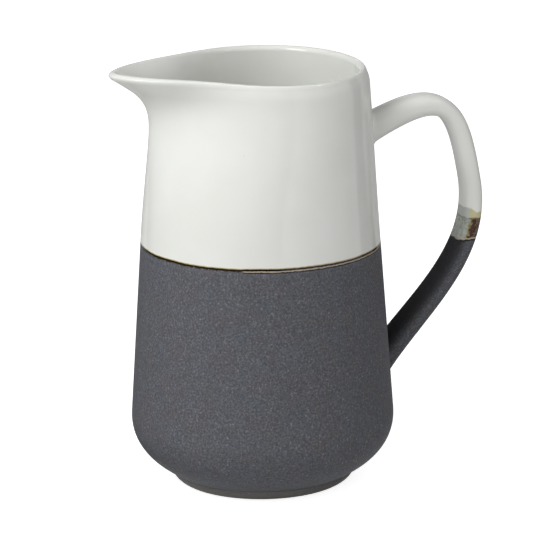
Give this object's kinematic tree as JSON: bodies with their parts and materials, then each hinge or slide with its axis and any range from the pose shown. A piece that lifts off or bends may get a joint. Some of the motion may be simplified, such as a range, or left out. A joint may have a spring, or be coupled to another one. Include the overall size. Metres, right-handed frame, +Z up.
{
  "type": "milk jug",
  "caption": "Tapered stoneware milk jug with a pulled spout, a strap handle, white glaze above and a matt charcoal coat below an iron-oxide line.",
  "frame": {"origin": "On the table under the middle of the jug's overall box, which reaches from the spout's tip to the handle's knee.", "axes": "+Z up along the turned body, -X towards the spout, +X towards the handle, +Y to the handle's left side seen from the spout."},
  "size_m": [0.1688, 0.1168, 0.1881],
  "materials": {
    "stoneware": "unglazed fired clay, matt and slightly gritty",
    "white_glaze": "glossy white glaze",
    "charcoal_slip": "matt charcoal coat with fine speckle",
    "iron_oxide": "satin iron-oxide line, black to rust brown"
  },
  "bodies": {
    "root": {"clay_body": "stoneware", "clay_handle": "stoneware", "upper_joint_slip": "white_glaze", "lower_joint_slip": "charcoal_slip", "white_glaze": "white_glaze", "liner_glaze": "white_glaze", "charcoal_coat": "charcoal_slip", "oxide_line": "iron_oxide", "handle_white_glaze": "white_glaze", "handle_oxide_band": "iron_oxide", "handle_charcoal_coat": "charcoal_slip"}
  },
  "joints": []
}
